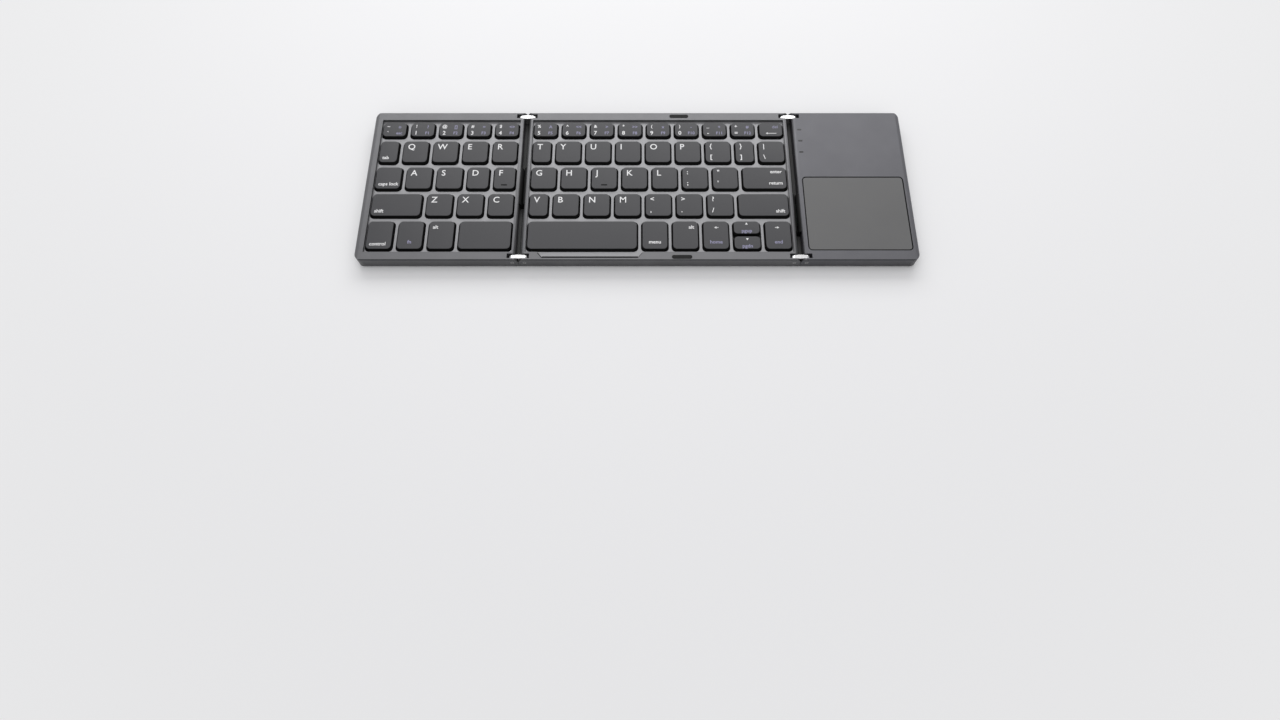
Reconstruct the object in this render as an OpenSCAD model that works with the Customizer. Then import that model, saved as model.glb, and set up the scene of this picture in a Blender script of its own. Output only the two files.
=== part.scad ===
/* [Overall] */
// Width of the unfolded keyboard
body_w = 304.5; // [296:0.5:312]
// Depth from the rear edge to the front edge
body_d = 97.95; // [94:0.05:104]
// Thickness of the case without its feet
case_t = 7.2; // [7:0.1:8.4]
// Distance from the left edge to the middle of the left gap
left_w = 88.1; // [86:0.1:90]
// Space between the free ends of the two wings when both are folded
meet_gap = 0.6; // [0.3:0.1:1.5]
// Radius of the outer corners
corner_r = 4; // [2:0.5:6]
// Chamfer along the front, rear and bottom edges
edge_c = 0.5; // [0.2:0.1:0.8]
// Width of the shallow slope along each wing's free end
end_slope_w = 1.8; // [1:0.1:2.4]
// Drop of the shallow slope along each wing's free end
end_slope_h = 0.35; // [0.2:0.05:0.6]

/* [Case walls] */
// Thickness of the bottom covers
cover_t = 1.0; // [0.8:0.1:1.4]
// Thickness of the wall at each wing's free end
end_wall = 2.6; // [2:0.1:3]
// Thickness of the front and rear walls below the deck
long_wall = 7.2; // [7:0.1:7.6]
// Thickness of the right wing's top
right_top_t = 1.2; // [1:0.1:1.5]
// Distance from the long edges to the grooves on the underside
groove_in = 6.0; // [5.6:0.1:7]
// Width of the grooves on the underside
groove_w = 0.4; // [0.2:0.1:0.5]

/* [Tray and keys] */
// Width of the rim at the left wing's free end
rim_end = 4.3; // [3.8:0.1:5]
// Width of the rim behind the keys
rim_rear = 5.4; // [5:0.1:6]
// Width of the rim in front of the keys
rim_front = 5.05; // [4.6:0.05:5.6]
// Width of flat rim between a hinge pin's axis and the keys
rim_gap = 0.3; // [0.2:0.1:0.6]
// Depth of the tray that the keys stand in
tray_depth = 1.6; // [1.3:0.1:1.8]
// Thickness of the deck between the keys
deck_t = 0.8; // [0.6:0.1:0.9]
// Space from the tray's side to the first key
key_margin = 0.4; // [0.3:0.1:0.7]
// Space from the tray's rear side to the first row
rear_margin = 1.8; // [1.6:0.1:2.2]
// Space from the tray's front side to the last row
front_margin = 1.0; // [0.8:0.1:1.4]
// Space between two keys of one row
key_gap = 1.9; // [1.7:0.1:2.2]
// Space between two rows
row_gap = 2.4; // [2.1:0.1:2.8]
// Space between the up and down keys
arrow_gap = 0.6; // [0.4:0.1:1]
// Height of a keycap
key_h = 1.8; // [1.6:0.1:1.9]
// How far the key tops lie below the rim
key_sink = 0.1; // [0.05:0.05:0.3]
// How far a key goes down
key_travel = 1.2; // [1:0.1:1.3]
// Thickness of a keycap's roof
key_roof = 0.9; // [0.7:0.1:1]
// Thickness of a keycap's skirt
key_skirt = 0.8; // [0.6:0.1:1]
// Corner radius of a keycap
key_r = 2.4; // [1.5:0.1:3]
// Slope at the top edge of a keycap
key_edge = 0.4; // [0.2:0.1:0.5]
// Space between a key and its window
window_fit = 0.25; // [0.2:0.05:0.35]
// Space between a pressed key and the membrane
press_room = 0.3; // [0.2:0.1:0.4]
// Height of the finger ridges on the F and J keys
ridge_h = 0.08; // [0.04:0.02:0.1]

/* [Below the keys] */
// Thickness of the contact membrane
membrane_t = 0.4; // [0.3:0.1:0.5]
// Thickness of the steel key plate
plate_t = 0.6; // [0.4:0.1:0.7]
// Space round the plate and the membrane
sheet_fit = 0.3; // [0.2:0.1:0.5]
// Foot radius of a rubber dome
dome_r = 2.8; // [2.4:0.1:3.2]
// Tip radius of a rubber dome
dome_tip_r = 1.5; // [1.2:0.1:2]
// Radius of the bosses that carry the key plates
boss_r = 1.8; // [1.4:0.1:2.2]

/* [Hinges] */
// Radius of the rounded hinge ends, and depth of the pins below the rim
barrel_r = 3.2; // [3:0.1:3.3]
// Space between two modules when folded
closing_gap = 0.2; // [0.15:0.05:0.3]
// How far the straight edges beside a gap reach past the pins, above the covers
edge_past_pin = 1.6; // [1.5:0.1:1.8]
// Thickness of the ears at the front and rear edges
ear_t = 1.2; // [1:0.1:1.4]
// Thickness of a link
link_t = 2.4; // [2:0.1:2.6]
// Half height of a link
link_r = 2.5; // [2.2:0.1:2.6]
// Space round a link
link_fit = 0.2; // [0.15:0.05:0.3]
// Radius of a hinge pin
pin_r = 1.0; // [0.8:0.05:1.1]
// Running clearance of a link on its pins
pin_fit = 0.05; // [0.03:0.01:0.08]
// How far a pin reaches into the wall behind the link
pin_hold = 2.5; // [2:0.1:2.6]
// Radius of the dimple in a pin's end
dimple_r = 0.5; // [0.3:0.05:0.6]

/* [Feet, bumpers and screws] */
// Height of the feet below the case
foot_h = 0.6; // [0.4:0.1:1]
// Length of a foot or a bumper
pill_l = 11; // [9:0.5:13]
// Width of a foot or a bumper
pill_w = 2.3; // [2:0.1:2.6]
// Depth of the pockets that hold feet and bumpers
pocket_t = 0.3; // [0.2:0.05:0.4]
// Distance from the long edges to the middle of a foot
foot_in = 3.6; // [3:0.1:4]
// Distance from a wing's free end to the middle of its feet
foot_free = 12; // [10.5:0.5:14]
// Distance from a gap-side edge to the middle of the feet
foot_gap = 9.5; // [9:0.5:12]
// Distance from the rear edge to the middle of the rear bumper
bumper_in = 2.8; // [2.6:0.1:3.2]
// Distance from the front edge to the middle of the front bumper
bumper_front = 1.9; // [1.8:0.05:2.2]
// How far the bumpers stand out of the rim
bumper_h = 0.12; // [0.08:0.02:0.14]
// Radius of a screw's head
head_r = 1.0; // [0.9:0.05:1.1]
// Thickness of a screw's head
head_t = 0.4; // [0.3:0.05:0.5]
// Radius of a screw's shank
screw_r = 0.6; // [0.5:0.05:0.7]
// Length of a screw's shank
screw_l = 3.6; // [3:0.1:4]
// Distance from the free end to the screw in the open
screw_free = 4.4; // [4.2:0.1:4.8]

/* [Cable passage] */
// Distance from the rear edge to the middle of the left passage
left_passage = 50; // [45:0.5:60]
// Distance from the rear edge to the middle of the right passage
right_passage = 67.7; // [60:0.5:72]
// Length of a grommet
grommet_l = 24; // [20:0.5:28]
// Width of a flat cable
flat_w = 14; // [10:0.5:16]

/* [Touchpad side] */
// Distance from the right wing's hinge pins to the touchpad
pad_hinge = 1.25; // [1.1:0.05:2.4]
// Distance from the rear edge to the touchpad
pad_rear = 45; // [44:0.5:48]
// Distance from the right edge to the touchpad
pad_in = 3.1; // [3:0.1:4]
// Distance from the front edge to the touchpad
pad_front = 6.25; // [6:0.05:7]
// Corner radius of the touchpad
pad_r = 2; // [1.5:0.1:3]
// Width of the groove round the touchpad
pad_groove = 0.35; // [0.25:0.05:0.5]
// Thickness of the touchpad's board
board_t = 0.8; // [0.6:0.1:1]
// How far the touchpad's board reaches past its window
board_lap = 0.7; // [0.5:0.1:0.9]
// Length of an indicator lens
lens_l = 2.5; // [2:0.1:2.8]
// Width of an indicator lens
lens_w = 1.0; // [0.8:0.1:1.2]
// Distance from the right wing's hinge pins to the lenses
lens_in = 2.1; // [2:0.1:2.6]
// Distance from the rear edge to the first lens
lens_first = 12.3; // [11:0.1:14]
// Distance between lenses
lens_pitch = 7.8; // [6:0.1:9]
// Distance from the right wing's hinge pins to the battery
battery_hinge = 6.5; // [5:0.5:9]
// Distance from the right edge to the battery
battery_in = 8; // [5:0.5:12]
// Distance from the rear edge to the battery
battery_rear = 10; // [9:0.5:14]
// Space between the battery and the main board
battery_gap = 8; // [6:0.5:12]
// Thickness of the battery
battery_t = 3.6; // [3:0.1:4]
// Width of the charging socket
socket_w = 7.5; // [7:0.1:9]
// Height of the charging socket
socket_h = 2.6; // [2.4:0.1:2.7]
// Depth of the charging socket
socket_l = 5.6; // [5:0.1:7]
// Distance from the front edge to the charging socket
socket_front = 30; // [25:1:40]

/* [Hidden] */
$fn = 48;
// A cut runs this far past the surface that it opens
eps = 0.5;

// Key widths of each row from left to right, before the row is fitted to its tray
left_rows = [
  [14.4, 14.4, 14.4, 14.4, 14.4],
  [11.4, 15.2, 15.2, 15.2, 14.9],
  [15.2, 15.3, 15.3, 13.2, 12.9],
  [28.6, 15.3, 15.3, 14.9],
  [14.9, 14.8, 14.9, 29.6]];
centre_rows = [
  [14.4, 14.4, 14.4, 14.4, 14.4, 14.4, 14.4, 14.4, 14.4],
  [11.2, 15, 15, 15, 15, 15, 15.1, 11.3, 15.3],
  [15, 15.2, 15.2, 15.1, 15, 15.2, 15, 25.4],
  [11.2, 15.2, 15.2, 15.1, 15.2, 15.2, 15.3, 28.6],
  [61, 14.8, 14.9, 14.8, 15.4, 15]];
// Key depths of the five rows from the rear, before they are fitted to the tray
row_depths = [10.6, 15.5, 15.4, 15.3, 18.4];
number_row = 0;
top_row = 1;
home_row = 2;
low_row = 3;
bottom_row = 4;
// The up and down keys share this place in the bottom row of the centre
arrow_place = 4;
f_place = 4;
j_place = 2;

// Heights
case_z = foot_h;
top_z = case_z + case_t;
seam_z = case_z + cover_t;
pin_z = top_z - barrel_r;
deck_z = top_z - tray_depth;
key_top_z = top_z - key_sink;
skirt_z = key_top_z - key_h;
membrane_z = skirt_z - key_travel - press_room - membrane_t;
plate_z = membrane_z - plate_t;
sheets_top_z = membrane_z + membrane_t;
dome_h = key_top_z - key_roof - sheets_top_z;

// Places along the width, from the middle of the keyboard
left_end = -body_w / 2;
right_end = body_w / 2;
pin_half = barrel_r + closing_gap / 2;
left_gap = left_end + left_w;
right_gap = left_gap + (body_w + meet_gap) / 2;
left_pin = left_gap - pin_half;
centre_left_pin = left_gap + pin_half;
centre_right_pin = right_gap - pin_half;
right_pin = right_gap + pin_half;
// The folded wings' free ends meet here
meet_x = centre_left_pin + left_pin - left_end + meet_gap / 2;
rear_y = body_d / 2;
front_y = -body_d / 2;

// Each module is its two ends along the width and its hinges, as pin place and direction of the gap
LEFT = [left_end, left_pin, [[left_pin, 1]]];
CENTRE = [centre_left_pin, centre_right_pin, [[centre_left_pin, -1], [centre_right_pin, 1]]];
RIGHT = [right_pin, right_end, [[right_pin, -1]]];
left_tray = [left_end + rim_end, left_pin - rim_gap];
centre_tray = [centre_left_pin + rim_gap, centre_right_pin - rim_gap];

// Hinges: the room for a link, the length of a pin and the details at its ends
link_w = link_t + 2 * link_fit;
notch_half = pin_half + link_r + link_fit;
pin_l = ear_t + link_w + pin_hold;
pin_end_room = 0.1;
dimple_t = 0.4;
// Screws: clearance, and the radius, depth and sides of the drive in the head
screw_room = 0.05;
drive_r = 0.5;
drive_t = 0.2;
drive_sides = 6;
// Key sizes are rounded to this step
size_step = 0.02;
// Space round the keys of a row below the deck
row_room = 0.5;
// The finger ridges
ridge_w = 3.4;
ridge_d = 0.7;
ridge_up = 3;
// The recess for the thumbs in front of the space bar
scoop_rear_in = 5.7;
scoop_slope = 3;
scoop_front = 1.3;
// Clearances of the flat cables in their slots
flat_slot_h = 0.2;
flat_fit = 0.15;
// Indicator lenses
lens_n = 3;
lens_flange = 0.5;
lens_flange_t = 0.4;
lens_fit = 0.05;
lens_sink = 0.05;
// Inside the right wing
board_fit = 0.1;
board_lift = 0.6;
main_board_hinge = 11.35;
main_board_d = 38;
main_board_in = 3.2;
main_board_front = 12;
chip_n = 3;
chip_w = 7;
chip_t = 0.9;
chip_in = 7;
shell_t = 0.3;
tongue_t = 0.7;
tongue_w = 3.6;
tongue_l = 4.5;
socket_sink = 0.4;
socket_fit = 0.15;
ribbon_t = 0.3;
ribbon_run = 3;
pcb_boss_r = 1.5;
pcb_boss_in = 3;
// Distance from a panel's edges to the bosses below its key plate
boss_in = 9;

// Widths and places that follow from the lists above
function total(v, n) = n <= 0 ? 0 : v[n - 1] + total(v, n - 1);
function fitted(v, room, gap) = let(k = (room - gap * (len(v) - 1)) / total(v, len(v)))
  [for (a = v) round(a * k / size_step) * size_step];
rows_d = fitted(row_depths, body_d - rim_rear - rim_front - rear_margin - front_margin, row_gap);
function row_rear(r) = rear_y - rim_rear - rear_margin - total(rows_d, r) - r * row_gap;
function row_keys(rows, tray, r) = fitted(rows[r], tray[1] - tray[0] - 2 * key_margin, key_gap);
// A key as the middle of its base, its width and its depth
function key_at(rows, tray, r, i) = let(w = row_keys(rows, tray, r))
  [tray[0] + key_margin + total(w, i) + i * key_gap + w[i] / 2, row_rear(r) - rows_d[r] / 2, w[i], rows_d[r]];
// The rear (1) or front (-1) half of the arrow place
function arrow_key(side) = let(k = key_at(centre_rows, centre_tray, bottom_row, arrow_place),
  d = (k[3] - arrow_gap) / 2) [k[0], k[1] + side * (d + arrow_gap) / 2, k[2], d];
function keys_of(rows, tray) = [for (r = [0:len(rows) - 1]) for (i = [0:len(rows[r]) - 1])
  key_at(rows, tray, r, i)];
function row_of(rows, tray, r, from, to) = [for (i = [from:to]) key_at(rows, tray, r, i)];
arrow_pair = key_at(centre_rows, centre_tray, bottom_row, arrow_place);
centre_presses = concat([for (k = keys_of(centre_rows, centre_tray)) if (k != arrow_pair) k],
  [arrow_key(1), arrow_key(-1)]);

// Feet as their middles: free end or gap side, front and rear
function foot_xs(m) = [for (s = [0, 1]) let(hinge = [for (h = m[2]) if (h[0] == m[s]) h])
  len(hinge) > 0 ? m[s] + hinge[0][1] * (edge_past_pin - foot_gap) : m[s] + (s == 0 ? 1 : -1) * foot_free];
function feet_at(m) = [for (x = foot_xs(m)) for (y = [rear_y - foot_in, front_y + foot_in]) [x, y]];
// Screws sit under the feet, apart from the one at a wing's rear free corner
function screws_at(m) = [for (f = feet_at(m)) [open_screw(m, f), f[1]]];
function open_screw(m, f) = f[1] < 0 ? f[0]
  : f[0] == m[0] + foot_free ? m[0] + screw_free
  : f[0] == m[1] - foot_free ? m[1] - screw_free : f[0];

// Flat shapes
module round_rect(w, d, r) {
  square([w - 2 * r, d], center = true);
  square([w, d - 2 * r], center = true);
  for (x = [-1, 1]) for (y = [-1, 1]) translate([x * (w / 2 - r), y * (d / 2 - r)]) circle(r);
}
module pill(l, w) {
  square([l - w, w], center = true);
  for (s = [-1, 1]) translate([s * (l - w) / 2, 0]) circle(w / 2);
}
module span_box(x, y, z) {
  translate([x[0], y[0], z[0]]) cube([x[1] - x[0], y[1] - y[0], z[1] - z[0]]);
}
// Draws a flat shape standing up, across the depth of the keyboard from rear to front
module across(from, to) {
  translate([0, to, 0]) rotate([90, 0, 0]) linear_extrude(to - from) children();
}
// The rounded end beside a gap, as a flat shape from the pin towards the gap
module barrel(side) {
  translate([0, pin_z]) circle(barrel_r);
  translate([side > 0 ? -barrel_r / 2 : -barrel_r, case_z]) square([barrel_r + barrel_r / 2, pin_z - case_z]);
}

// A band with chamfered corners, as a flat shape that runs past its straight sides
module chamfered(from, to, low, high, c, over) {
  polygon([[from + c + over, low - over], [to - c - over, low - over], [to + over, low + c + over],
    [to + over, high - c - over], [to - c - over, high + over], [from + c + over, high + over],
    [from - over, high - c - over], [from - over, low + c + over]]);
}
// The end of a module's section at one side: a shallow slope at a free end, or the middle of a barrel
function free_section(x, out) = [[x - out * edge_c, case_z], [x + out * eps, case_z + edge_c + eps],
  [x + out * eps, top_z - end_slope_h * (1 + eps / end_slope_w)], [x - out * end_slope_w, top_z]];
function gap_section(x) = [[x, case_z], [x, top_z]];
function turned(v) = [for (i = [len(v) - 1:-1:0]) v[i]];
// The full body of a module, before it is divided and hollowed
module case_block(m) {
  left_free = m[0] == left_end;
  right_free = m[1] == right_end;
  from = left_free ? m[0] : m[0] - 2 * barrel_r;
  to = right_free ? m[1] : m[1] + 2 * barrel_r;
  intersection() {
    across(front_y - eps, rear_y + eps) {
      polygon(concat(right_free ? free_section(m[1], 1) : gap_section(m[1]),
        turned(left_free ? free_section(m[0], -1) : gap_section(m[0]))));
      for (h = m[2]) translate([h[0], 0]) barrel(h[1]);
    }
    translate([from - eps, 0, 0]) rotate([90, 0, 90]) linear_extrude(to - from + 2 * eps)
      chamfered(front_y, rear_y, case_z, top_z, edge_c, eps);
    translate([0, 0, case_z - eps]) linear_extrude(case_t + 2 * eps) {
      inset = [from + (left_free ? corner_r : 0), to - (right_free ? corner_r : 0)];
      translate([inset[0], front_y]) square([inset[1] - inset[0], body_d]);
      translate([from, front_y + corner_r]) square([to - from, body_d - 2 * corner_r]);
      for (x = concat(left_free ? [inset[0]] : [], right_free ? [inset[1]] : []))
        for (y = [front_y + corner_r, rear_y - corner_r]) translate([x, y]) circle(corner_r);
    }
  }
}
// What is taken from every frame and from the right top cover beside their hinges
module hinge_cuts(m) {
  for (h = m[2]) {
    span_box(h[1] > 0 ? [h[0] + edge_past_pin, h[0] + 2 * barrel_r]
      : [h[0] - 2 * barrel_r, h[0] - edge_past_pin],
      [front_y + ear_t, rear_y - ear_t], [0, top_z + eps]);
  }
}
module link_notches(m) {
  for (h = m[2]) for (y = [front_y + ear_t, rear_y - ear_t - link_w]) {
    inner = h[0] + h[1] * (pin_half - notch_half);
    outer = h[0] + h[1] * 2 * barrel_r;
    span_box([min(inner, outer), max(inner, outer)], [y, y + link_w], [seam_z - eps, top_z + eps]);
  }
}
module pin_bores(m) {
  for (h = m[2]) for (side = [-1, 1])
    translate([h[0], side * (rear_y - pin_l - pin_end_room), pin_z]) rotate([-side * 90, 0, 0])
      cylinder(h = pin_l + pin_end_room + eps, r = pin_r);
}
module screw_bores(m) {
  for (s = screws_at(m)) translate([s[0], s[1], seam_z - eps])
    cylinder(h = screw_l - seam_z + case_z + pocket_t + head_t + eps + pin_end_room, r = screw_r + screw_room);
}
// The way that a flat cable takes through the wall beside a gap
module cable_slot(x, passage) {
  translate([x - barrel_r, rear_y - passage - flat_w / 2 - flat_fit, membrane_z - flat_slot_h / 2])
    cube([2 * barrel_r, flat_w + 2 * flat_fit, membrane_t + flat_slot_h]);
}

// A frame holds the tray, the deck with its windows and the side walls
module key_frame(m, rows, tray, passages) {
  difference() {
    case_block(m);
    translate([m[0] - 2 * barrel_r, front_y - eps, -eps])
      cube([m[1] - m[0] + 4 * barrel_r, body_d + 2 * eps, seam_z + eps]);
    span_box(tray, [front_y + rim_front, rear_y - rim_rear], [deck_z, top_z + eps]);
    span_box([m[0] == left_end ? m[0] + end_wall : m[0] + rim_gap, m[1] - rim_gap],
      [front_y + long_wall, rear_y - long_wall], [seam_z - eps, sheets_top_z]);
    for (r = [0:len(rows) - 1])
      span_box(tray, [row_rear(r) - rows_d[r] - row_room, row_rear(r) + row_room],
        [sheets_top_z - eps, deck_z - deck_t]);
    translate([0, 0, deck_z - deck_t - eps]) linear_extrude(deck_t + 2 * eps)
      for (k = keys_of(rows, tray)) translate([k[0], k[1]])
        round_rect(k[2] + 2 * window_fit, k[3] + 2 * window_fit, key_r + window_fit);
    hinge_cuts(m);
    link_notches(m);
    pin_bores(m);
    screw_bores(m);
    for (p = passages) cable_slot(p[0], p[1]);
  }
}
module left_frame() {
  color("dimgray") key_frame(LEFT, left_rows, left_tray, [[left_pin, left_passage]]);
}
module centre_frame() {
  space = key_at(centre_rows, centre_tray, bottom_row, 0);
  scoop = [space[0] - space[2] / 2 + scoop_rear_in, space[0] + space[2] / 2 + scoop_slope];
  color("dimgray") difference() {
    key_frame(CENTRE, centre_rows, centre_tray,
      [[centre_left_pin, left_passage], [centre_right_pin, right_passage]]);
    translate([0, 0, deck_z]) linear_extrude(tray_depth + eps)
      polygon([[scoop[0], front_y + rim_front + eps], [scoop[0], front_y + rim_front],
        [scoop[0] + scoop_slope, front_y + scoop_front], [scoop[1] - scoop_slope, front_y + scoop_front],
        [scoop[1], front_y + rim_front], [scoop[1], front_y + rim_front + eps]]);
    bumper_shapes(top_z - pocket_t, pocket_t + eps);
  }
}

// A bottom cover closes a module from below, reaches under the gap and carries its key plate on bosses
module bottom_cover(m) {
  difference() {
    intersection() {
      case_block(m);
      translate([m[0] - 2 * barrel_r, front_y, 0]) cube([m[1] - m[0] + 4 * barrel_r, body_d, seam_z]);
    }
    for (y = [front_y + groove_in, rear_y - groove_in - groove_w])
      span_box([m[0] - 2 * barrel_r, m[1] + 2 * barrel_r], [y, y + groove_w], [0, case_z + pocket_t]);
    foot_shapes(m, 0, case_z + pocket_t);
    for (s = screws_at(m)) translate([s[0], s[1], 0]) {
      cylinder(h = case_z + pocket_t + head_t, r = head_r + screw_room);
      cylinder(h = seam_z + eps, r = screw_r + screw_room);
    }
  }
}
function boss_places(m) = [for (x = [m[0] + boss_in, (m[0] + m[1]) / 2, m[1] - boss_in])
  for (y = [front_y + long_wall + boss_in, 0, rear_y - long_wall - boss_in]) [x, y]];
module plate_bosses(m) {
  for (p = boss_places(m)) translate([p[0], p[1], seam_z - cover_t / 2])
    cylinder(h = plate_z - seam_z + cover_t / 2, r = boss_r);
}
module left_bottom_cover() {
  color("darkslategray") { bottom_cover(LEFT); plate_bosses(LEFT); }
}
module centre_bottom_cover() {
  color("darkslategray") { bottom_cover(CENTRE); plate_bosses(CENTRE); }
}

// The plate and the membrane lie in the frame's lower hollow
module sheet(m, z, t) {
  span_box([m[0] + sheet_fit + (m[0] == left_end ? end_wall : rim_gap), m[1] - rim_gap - sheet_fit],
    [front_y + long_wall + sheet_fit, rear_y - long_wall - sheet_fit], [z, z + t]);
}
// A membrane's tail runs through the wall and the grommet to the middle of a gap
module tail(pin, side, passage) {
  end = pin + side * barrel_r;
  root = pin - side * (rim_gap + 2 * sheet_fit);
  span_box([min(root, end), max(root, end)],
    [rear_y - passage - flat_w / 2, rear_y - passage + flat_w / 2], [membrane_z, membrane_z + membrane_t]);
}
module left_key_plate() { color("silver") sheet(LEFT, plate_z, plate_t); }
module centre_key_plate() { color("silver") sheet(CENTRE, plate_z, plate_t); }
module left_membrane() {
  color("seagreen") { sheet(LEFT, membrane_z, membrane_t); tail(left_pin, 1, left_passage); }
}
module centre_membrane() {
  color("seagreen") {
    sheet(CENTRE, membrane_z, membrane_t);
    tail(centre_left_pin, -1, left_passage);
    tail(centre_right_pin, 1, right_passage);
  }
}
module domes(keys) {
  for (k = keys) translate([k[0], k[1], sheets_top_z]) cylinder(h = dome_h, r1 = dome_r, r2 = dome_tip_r);
}
module left_domes() { color("whitesmoke") domes(keys_of(left_rows, left_tray)); }
module centre_domes() { color("whitesmoke") domes(centre_presses); }

// A keycap is a rounded cup with sloping top edges
module keycap(k) {
  w = k[2];
  d = k[3];
  translate([k[0], k[1], 0]) difference() {
    intersection() {
      translate([0, 0, skirt_z]) linear_extrude(key_h) round_rect(w, d, key_r);
      across(-d / 2 - eps, d / 2 + eps) chamfered(-w / 2, w / 2, skirt_z - 2 * eps, key_top_z, key_edge, eps);
      rotate([0, 0, 90]) across(-w / 2 - eps, w / 2 + eps)
        chamfered(-d / 2, d / 2, skirt_z - 2 * eps, key_top_z, key_edge, eps);
    }
    translate([0, 0, skirt_z - eps]) linear_extrude(key_h - key_roof + eps)
      round_rect(w - 2 * key_skirt, d - 2 * key_skirt, key_r - key_skirt);
  }
}
module keycaps(keys) { color("darkslategray") for (k = keys) keycap(k); }
module finger_ridge(k) {
  color("darkslategray") translate([k[0] - ridge_w / 2, k[1] - k[3] / 2 + ridge_up, key_top_z - ridge_h])
    cube([ridge_w, ridge_d, 2 * ridge_h]);
}
module left_row(r, from, to) { keycaps(row_of(left_rows, left_tray, r, from, to)); }
module centre_row(r, from, to) { keycaps(row_of(centre_rows, centre_tray, r, from, to)); }
module left_number_keys() { left_row(number_row, 0, 4); }
module tab_key() { left_row(top_row, 0, 0); }
module qwer_keys() { left_row(top_row, 1, 4); }
module caps_lock_key() { left_row(home_row, 0, 0); }
module asdf_keys() {
  left_row(home_row, 1, 4);
  finger_ridge(key_at(left_rows, left_tray, home_row, f_place));
}
module left_shift_key() { left_row(low_row, 0, 0); }
module zxc_keys() { left_row(low_row, 1, 3); }
module control_key() { left_row(bottom_row, 0, 0); }
module fn_key() { left_row(bottom_row, 1, 1); }
module left_alt_key() { left_row(bottom_row, 2, 2); }
module left_space_key() { left_row(bottom_row, 3, 3); }
module centre_number_keys() { centre_row(number_row, 0, 7); }
module backspace_key() { centre_row(number_row, 8, 8); }
module top_letter_keys() { centre_row(top_row, 0, 8); }
module home_letter_keys() {
  centre_row(home_row, 0, 6);
  finger_ridge(key_at(centre_rows, centre_tray, home_row, j_place));
}
module enter_key() { centre_row(home_row, 7, 7); }
module low_letter_keys() { centre_row(low_row, 0, 6); }
module right_shift_key() { centre_row(low_row, 7, 7); }
module space_bar() { centre_row(bottom_row, 0, 0); }
module command_key() { centre_row(bottom_row, 1, 1); }
module right_alt_key() { centre_row(bottom_row, 2, 2); }
module left_arrow_key() { centre_row(bottom_row, 3, 3); }
module up_arrow_key() { keycaps([arrow_key(1)]); }
module down_arrow_key() { keycaps([arrow_key(-1)]); }
module right_arrow_key() { centre_row(bottom_row, 5, 5); }

// Feet and bumpers are rubber pills in shallow pockets
module foot_shapes(m, z, h) {
  for (f = feet_at(m)) translate([f[0], f[1], z]) linear_extrude(h) pill(pill_l, pill_w);
}
module bumper_shapes(z, h) {
  for (y = [rear_y - bumper_in, front_y + bumper_front])
    translate([meet_x, y, z]) linear_extrude(h) pill(pill_l, pill_w);
}
module left_feet() { color("black") foot_shapes(LEFT, 0, foot_h + pocket_t); }
module centre_feet() { color("black") foot_shapes(CENTRE, 0, foot_h + pocket_t); }
module right_feet() { color("black") foot_shapes(RIGHT, 0, foot_h + pocket_t); }
module centre_bumpers() { color("black") bumper_shapes(top_z - pocket_t, pocket_t + bumper_h); }
module screws(m) {
  color("silver") for (s = screws_at(m)) translate([s[0], s[1], case_z + pocket_t]) {
    difference() {
      cylinder(h = head_t, r = head_r);
      cylinder(h = 2 * drive_t, r = drive_r, center = true, $fn = drive_sides);
    }
    translate([0, 0, head_t - drive_t / 2]) cylinder(h = screw_l + drive_t / 2, r = screw_r);
  }
}
module left_screws() { screws(LEFT); }
module centre_screws() { screws(CENTRE); }
module right_screws() { screws(RIGHT); }

// Pins stay in the ears, and the links turn on them
module hinge_pins(m) {
  color("silver") for (h = m[2]) for (side = [-1, 1]) difference() {
    translate([h[0], side * (rear_y - pin_l), pin_z]) rotate([-side * 90, 0, 0]) cylinder(h = pin_l, r = pin_r);
    translate([h[0], side * (rear_y - dimple_t), pin_z]) rotate([-side * 90, 0, 0])
      cylinder(h = dimple_t + eps, r = dimple_r);
  }
}
module left_hinge_pins() { hinge_pins(LEFT); }
module centre_hinge_pins() { hinge_pins(CENTRE); }
module right_hinge_pins() { hinge_pins(RIGHT); }
module hinge_links(gap) {
  color("gainsboro") for (y = [front_y + ear_t + link_fit, rear_y - ear_t - link_fit - link_t])
    translate([gap, y + link_t, pin_z]) rotate([90, 0, 0]) difference() {
      linear_extrude(link_t) pill(2 * (pin_half + link_r), 2 * link_r);
      for (s = [-1, 1]) translate([s * pin_half, 0, -eps]) cylinder(h = link_t + 2 * eps, r = pin_r + pin_fit);
    }
}
module left_hinge_links() { hinge_links(left_gap); }
module right_hinge_links() { hinge_links(right_gap); }

// Grommets fill the gap beside a cable passage and follow the rounded hinge ends
module grommet(h, passage) {
  seat = h[0] + h[1] * edge_past_pin;
  color("black") difference() {
    intersection() {
      across(rear_y - passage - grommet_l / 2, rear_y - passage + grommet_l / 2)
        translate([h[0], 0]) barrel(h[1]);
      span_box(h[1] > 0 ? [seat, seat + barrel_r] : [seat - barrel_r, seat],
        [front_y, rear_y], [seam_z, top_z]);
    }
    cable_slot(h[0], passage);
  }
}
module left_grommet() { grommet(LEFT[2][0], left_passage); }
module centre_grommets() {
  grommet(CENTRE[2][0], left_passage);
  grommet(CENTRE[2][1], right_passage);
}
module right_grommet() { grommet(RIGHT[2][0], right_passage); }

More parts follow.
